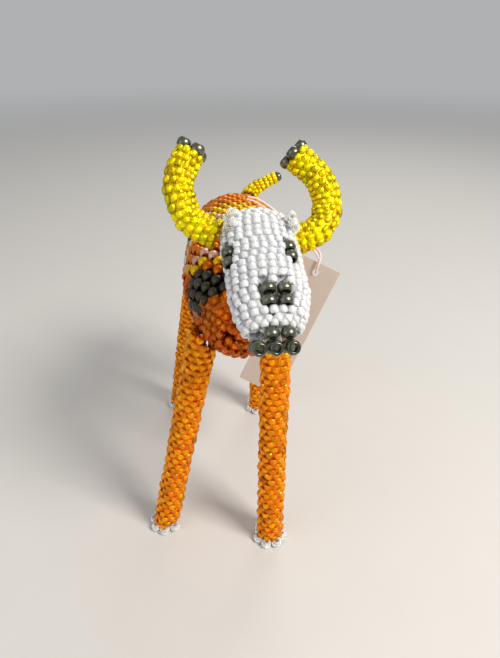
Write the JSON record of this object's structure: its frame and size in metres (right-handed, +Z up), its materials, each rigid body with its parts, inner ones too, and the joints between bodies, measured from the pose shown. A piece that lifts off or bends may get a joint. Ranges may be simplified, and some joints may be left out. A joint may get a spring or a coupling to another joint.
{
  "type": "beaded bull figure",
  "caption": "Small free-standing bull woven from glass seed beads, with hinged head, legs and tail and a blank tag on a thread.",
  "frame": {"origin": "on the ground under the middle of the figure, leaving out the tag and its thread", "axes": "+Z up, the animal faces -Y, its left side is +X"},
  "size_m": [0.0413, 0.0628, 0.0793],
  "materials": {
    "orange_beads": "transparent orange glass seed beads, silver lined",
    "white_beads": "pearly white glass seed beads",
    "yellow_beads": "silver-lined yellow glass seed beads",
    "dark_beads": "opaque dark metallic glass seed beads",
    "clear_beads": "clear glass seed beads",
    "stuffing": "loose cotton fill",
    "wire": "bare soft wire",
    "paper": "plain uncoated card, blank",
    "thread": "thin nylon thread"
  },
  "bodies": {
    "body": {"body_skin": "orange_beads", "body_stuffing": "stuffing", "swing_tag": "paper", "tag_thread": "thread"},
    "neck": {"neck_collar": "orange_beads"},
    "head": {"head_skin": "white_beads", "head_stuffing": "stuffing", "eye_left_1": "dark_beads", "eye_left_2": "dark_beads", "eye_right_1": "dark_beads", "eye_right_2": "dark_beads", "nostril_1_1": "dark_beads", "nostril_1_2": "dark_beads", "nostril_2_1": "dark_beads", "nostril_2_2": "dark_beads", "muzzle_top_1": "dark_beads", "muzzle_top_2": "dark_beads", "muzzle_end_1": "dark_beads", "muzzle_end_2": "dark_beads", "muzzle_end_3": "dark_beads", "muzzle_chin_1": "dark_beads", "muzzle_chin_2": "dark_beads", "muzzle_chin_3": "dark_beads", "horn_left_tip_1": "dark_beads", "horn_left_tip_2": "dark_beads", "horn_left_tip_3": "dark_beads", "horn_left_tip_4": "dark_beads", "horn_right_tip_1": "dark_beads", "horn_right_tip_2": "dark_beads", "horn_right_tip_3": "dark_beads", "horn_right_tip_4": "dark_beads", "horn_left_skin": "yellow_beads", "horn_left_core": "wire", "ear_left": "clear_beads", "horn_right_skin": "yellow_beads", "horn_right_core": "wire", "ear_right": "clear_beads"},
    "leg_front_right": {"leg_front_right_skin": "orange_beads", "leg_front_right_core": "wire", "hoof_front_right_beads": "clear_beads"},
    "leg_front_left": {"leg_front_left_skin": "orange_beads", "leg_front_left_core": "wire", "hoof_front_left_beads": "clear_beads"},
    "leg_rear_right": {"leg_rear_right_skin": "orange_beads", "leg_rear_right_core": "wire", "hoof_rear_right_beads": "clear_beads"},
    "leg_rear_left": {"leg_rear_left_skin": "orange_beads", "leg_rear_left_core": "wire", "hoof_rear_left_beads": "clear_beads"},
    "tail": {"tail_skin": "yellow_beads", "tail_core": "wire", "tail_tip_bead": "dark_beads"}
  },
  "joints": [
    {"name": "neck_nod", "type": "hinge", "parent": "body", "child": "neck", "pos_m": [0.00514, -0.01472, 0.0586], "axis": [0.9857, 0.1685, 0], "range_deg": [-5, 5]},
    {"name": "head_turn", "type": "hinge", "parent": "neck", "child": "head", "pos_m": [0.00514, -0.01472, 0.0586], "axis": [0.3331, -0.7231, 0.6051], "range_deg": [-8, 8]},
    {"name": "front_right_leg_swing", "type": "hinge", "parent": "body", "child": "leg_front_right", "pos_m": [-0.00394, -0.01374, 0.0465], "axis": [1, 0, 0], "range_deg": [-8, 8]},
    {"name": "front_left_leg_swing", "type": "hinge", "parent": "body", "child": "leg_front_left", "pos_m": [0.00873, -0.01471, 0.0465], "axis": [1, 0, 0], "range_deg": [-8, 8]},
    {"name": "rear_right_leg_swing", "type": "hinge", "parent": "body", "child": "leg_rear_right", "pos_m": [-0.0079, 0.02518, 0.0465], "axis": [1, 0, 0], "range_deg": [-8, 8]},
    {"name": "rear_left_leg_swing", "type": "hinge", "parent": "body", "child": "leg_rear_left", "pos_m": [0.00777, 0.02486, 0.0465], "axis": [1, 0, 0], "range_deg": [-8, 8]},
    {"name": "tail_swing", "type": "hinge", "parent": "body", "child": "tail", "pos_m": [0.00424, 0.02713, 0.0588], "axis": [0, 0, 1], "range_deg": [-10, 10]}
  ]
}
